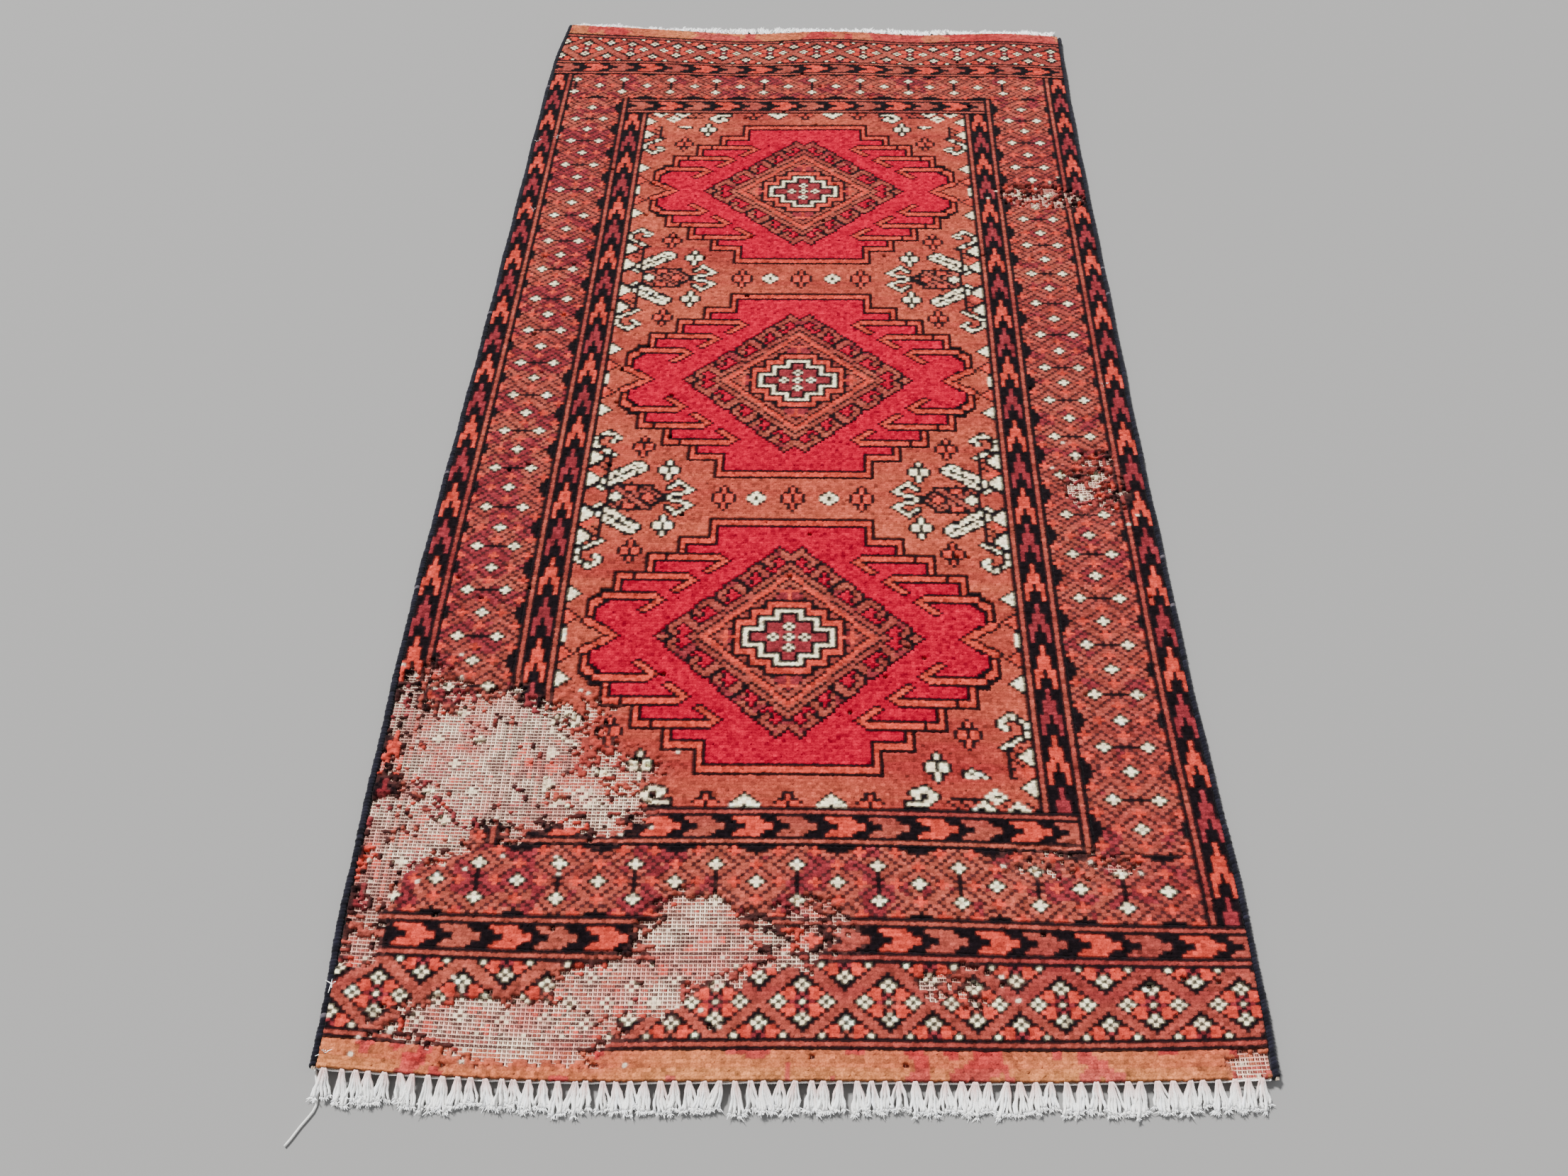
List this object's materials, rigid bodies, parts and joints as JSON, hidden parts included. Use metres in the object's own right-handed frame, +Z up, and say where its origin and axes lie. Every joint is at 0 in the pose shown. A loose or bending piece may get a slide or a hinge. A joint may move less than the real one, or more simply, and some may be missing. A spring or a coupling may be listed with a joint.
{
  "type": "hand-knotted runner rug",
  "caption": "Small hand-knotted wool runner with stepped medallions, lattice borders, overcast sides and fringed ends, laid flat on a floor.",
  "frame": {"origin": "middle of the underside, on the floor", "axes": "+Y along the rug, from the near end to the far end; +X across it; +Z up out of the pile"},
  "size_m": [0.6534, 1.362, 0.0073],
  "materials": {
    "skirt_wool": "dull wool pile",
    "panel_wool": "dull wool pile",
    "guard_wool": "dull wool pile",
    "border_wool": "dull wool pile",
    "field_wool": "dull wool pile",
    "crimson_wool": "dull wool pile",
    "hooked_centre_wool": "dull wool pile",
    "navy_wool": "dull wool pile",
    "cotton_cloth": "matte undyed cotton",
    "cotton_yarn": "matte undyed cotton"
  },
  "bodies": {
    "root": {"foundation_cloth": "cotton_cloth", "skirt_pile_near": "skirt_wool", "end_panel_pile_near": "panel_wool", "skirt_pile_far": "skirt_wool", "end_panel_pile_far": "panel_wool", "outer_guard_pile_near": "guard_wool", "outer_guard_pile_far": "guard_wool", "outer_guard_pile_left": "guard_wool", "outer_guard_pile_right": "guard_wool", "main_border_pile_near": "border_wool", "main_border_pile_far": "border_wool", "main_border_pile_left": "border_wool", "main_border_pile_right": "border_wool", "inner_guard_pile_near": "guard_wool", "inner_guard_pile_far": "guard_wool", "inner_guard_pile_left": "guard_wool", "inner_guard_pile_right": "guard_wool", "field_ground_pile": "field_wool", "medallion_pile_near": "crimson_wool", "medallion_centre_pile_near": "hooked_centre_wool", "medallion_pile_middle": "crimson_wool", "medallion_centre_pile_middle": "hooked_centre_wool", "medallion_pile_far": "crimson_wool", "medallion_centre_pile_far": "hooked_centre_wool", "selvedge_wrap_left": "navy_wool", "selvedge_core_left": "cotton_yarn", "selvedge_wrap_right": "navy_wool", "selvedge_core_right": "cotton_yarn", "stitch_cord_near": "cotton_yarn", "tassels_near_1": "cotton_yarn", "tassels_near_2": "cotton_yarn", "tassels_near_3": "cotton_yarn", "tassels_near_4": "cotton_yarn", "tassels_near_5": "cotton_yarn", "tassels_near_6": "cotton_yarn", "tassels_near_7": "cotton_yarn", "tassels_near_8": "cotton_yarn", "stitch_cord_far": "cotton_yarn", "tassels_far_1": "cotton_yarn", "tassels_far_2": "cotton_yarn", "tassels_far_3": "cotton_yarn", "tassels_far_4": "cotton_yarn", "tassels_far_5": "cotton_yarn", "tassels_far_6": "cotton_yarn", "tassels_far_7": "cotton_yarn", "tassels_far_8": "cotton_yarn", "loose_cord_end": "cotton_yarn"}
  },
  "joints": []
}
